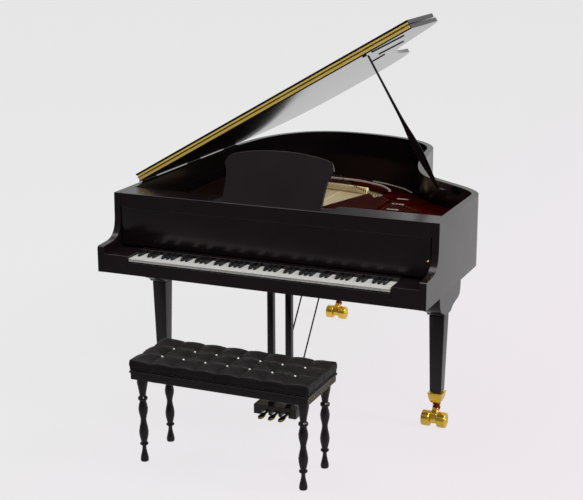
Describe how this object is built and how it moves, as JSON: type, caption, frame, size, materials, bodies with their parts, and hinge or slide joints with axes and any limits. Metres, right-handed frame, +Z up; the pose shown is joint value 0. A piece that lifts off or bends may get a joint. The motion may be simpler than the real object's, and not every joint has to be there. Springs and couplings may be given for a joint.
{
  "type": "miniature grand piano",
  "caption": "Miniature grand piano with its lid propped open, a folding front lid, music desk, fallboard, pedal lyre, brass casters and a buttoned bench.",
  "frame": {"origin": "on the floor, in the middle of the footprint of the piano and its bench", "axes": "+Z up, +Y from the keyboard towards the tail, +X towards the treble side"},
  "size_m": [0.1286, 0.2082, 0.1493],
  "materials": {
    "black_lacquer": "mirror-gloss black lacquer on wood",
    "brass": "polished brass",
    "white_key": "glossy, slightly warm white",
    "black_key": "satin black",
    "spruce": "varnished pale wood with straight grain",
    "iron_plate": "glossy dark red-brown paint",
    "maple": "satin mid-brown wood",
    "string_steel": "bright drawn wire",
    "felt": "dense dark felt",
    "seat_leather": "satin black leather with small pale buttons"
  },
  "bodies": {
    "case": {"beam_bass": "maple", "beam_treble": "maple", "black_keys": "black_key", "bridge": "maple", "damper_rail": "felt", "ferrule_left": "brass", "ferrule_right": "brass", "ferrule_tail": "brass", "front_rail": "black_lacquer", "iron_plate": "iron_plate", "key_block_left": "black_lacquer", "key_block_right": "black_lacquer", "key_frame": "maple", "key_slip": "black_lacquer", "keybed": "black_lacquer", "leg_block_left": "black_lacquer", "leg_block_right": "black_lacquer", "leg_block_tail": "black_lacquer", "leg_left": "black_lacquer", "leg_right": "black_lacquer", "leg_tail": "black_lacquer", "lyre_brace_left": "black_lacquer", "lyre_brace_right": "black_lacquer", "lyre_post_left": "black_lacquer", "lyre_post_right": "black_lacquer", "lyre_top_block": "black_lacquer", "pedal_box": "black_lacquer", "pin_block": "maple", "prop_socket": "black_lacquer", "rim": "black_lacquer", "soundboard": "spruce", "spine_hinge_1": "black_lacquer", "spine_hinge_2": "black_lacquer", "spine_hinge_3": "black_lacquer", "strings": "string_steel", "white_keys": "white_key"},
    "lid": {"lid_main": "black_lacquer", "lid_hinge_leaf": "brass", "prop_hinge_block": "black_lacquer"},
    "lid_flap": {"lid_flap": "black_lacquer", "flap_hinge_leaf": "brass"},
    "prop": {"prop_stick": "black_lacquer"},
    "music_desk": {"music_desk": "black_lacquer"},
    "fallboard": {"fallboard": "black_lacquer", "fallboard_knob": "brass"},
    "pedal_left": {"pedal_left": "brass"},
    "pedal_middle": {"pedal_middle": "brass"},
    "pedal_right": {"pedal_right": "brass"},
    "caster_horn_left": {"caster_horn_left": "brass"},
    "caster_wheels_left": {"caster_wheels_left": "brass"},
    "caster_horn_right": {"caster_horn_right": "brass"},
    "caster_wheels_right": {"caster_wheels_right": "brass"},
    "caster_horn_tail": {"caster_horn_tail": "brass"},
    "caster_wheels_tail": {"caster_wheels_tail": "brass"},
    "bench": {"bench_leg_front_left": "black_lacquer", "bench_leg_front_right": "black_lacquer", "bench_leg_rear_left": "black_lacquer", "bench_leg_rear_right": "black_lacquer", "bench_frame": "black_lacquer", "bench_cushion": "seat_leather"}
  },
  "joints": [
    {"name": "lid_hinge", "type": "hinge", "parent": "case", "child": "lid", "pos_m": [-0.06277, 0.0241, 0.0832], "axis": [0, -1, 0], "range_deg": [-29.97, 0]},
    {"name": "flap_hinge", "type": "hinge", "parent": "lid", "child": "lid_flap", "pos_m": [-0.01164, -0.0344, 0.11464], "axis": [-0.8663, 0, -0.4995], "range_deg": [-180, 0]},
    {"name": "prop_hinge", "type": "hinge", "parent": "lid", "child": "prop", "pos_m": [0.03055, -0.0327, 0.13597], "axis": [-0.769, -0.3995, -0.499], "range_deg": [-52.02, 0]},
    {"name": "music_desk_hinge", "type": "hinge", "parent": "case", "child": "music_desk", "pos_m": [0.00053, -0.0509, 0.0822], "axis": [1, 0, 0], "range_deg": [-61, 0]},
    {"name": "fallboard_hinge", "type": "hinge", "parent": "case", "child": "fallboard", "pos_m": [0.00053, -0.0519, 0.0638], "axis": [-1, 0, 0], "range_deg": [-90, 0]},
    {"name": "pedal_left_press", "type": "hinge", "parent": "case", "child": "pedal_left", "pos_m": [-0.00357, -0.0414, 0.0017], "axis": [1, 0, 0], "range_deg": [0, 3], "stiffness_Nm_per_rad": 0.0005, "springref_deg": -5.73},
    {"name": "pedal_middle_press", "type": "hinge", "parent": "case", "child": "pedal_middle", "pos_m": [0.00053, -0.0414, 0.0017], "axis": [1, 0, 0], "range_deg": [0, 3], "stiffness_Nm_per_rad": 0.0005, "springref_deg": -5.73},
    {"name": "pedal_right_press", "type": "hinge", "parent": "case", "child": "pedal_right", "pos_m": [0.00463, -0.0414, 0.0017], "axis": [1, 0, 0], "range_deg": [0, 3], "stiffness_Nm_per_rad": 0.0005, "springref_deg": -5.73},
    {"name": "caster_swivel_left", "type": "hinge", "parent": "case", "child": "caster_horn_left", "pos_m": [-0.05667, -0.0289, 0.0078], "axis": [0, 0, 1], "continuous": true},
    {"name": "caster_roll_left", "type": "hinge", "parent": "caster_horn_left", "child": "caster_wheels_left", "pos_m": [-0.05667, -0.0313, 0.0029], "axis": [1, 0, 0], "continuous": true},
    {"name": "caster_swivel_right", "type": "hinge", "parent": "case", "child": "caster_horn_right", "pos_m": [0.05773, -0.0289, 0.0078], "axis": [0, 0, 1], "continuous": true},
    {"name": "caster_roll_right", "type": "hinge", "parent": "caster_horn_right", "child": "caster_wheels_right", "pos_m": [0.05773, -0.0313, 0.0029], "axis": [1, 0, 0], "continuous": true},
    {"name": "caster_swivel_tail", "type": "hinge", "parent": "case", "child": "caster_horn_tail", "pos_m": [-0.02337, 0.0791, 0.0078], "axis": [0, 0, 1], "continuous": true},
    {"name": "caster_roll_tail", "type": "hinge", "parent": "caster_horn_tail", "child": "caster_wheels_tail", "pos_m": [-0.02337, 0.0767, 0.0029], "axis": [1, 0, 0], "continuous": true},
    {"name": "bench_slide", "type": "slide", "parent": "case", "child": "bench", "axis": [0, -1, 0], "range_m": [-0.022, 0.03]}
  ],
  "couplings": [
    {"joint": "prop_hinge", "follows": "lid_hinge", "ratio": 1.7189}
  ]
}
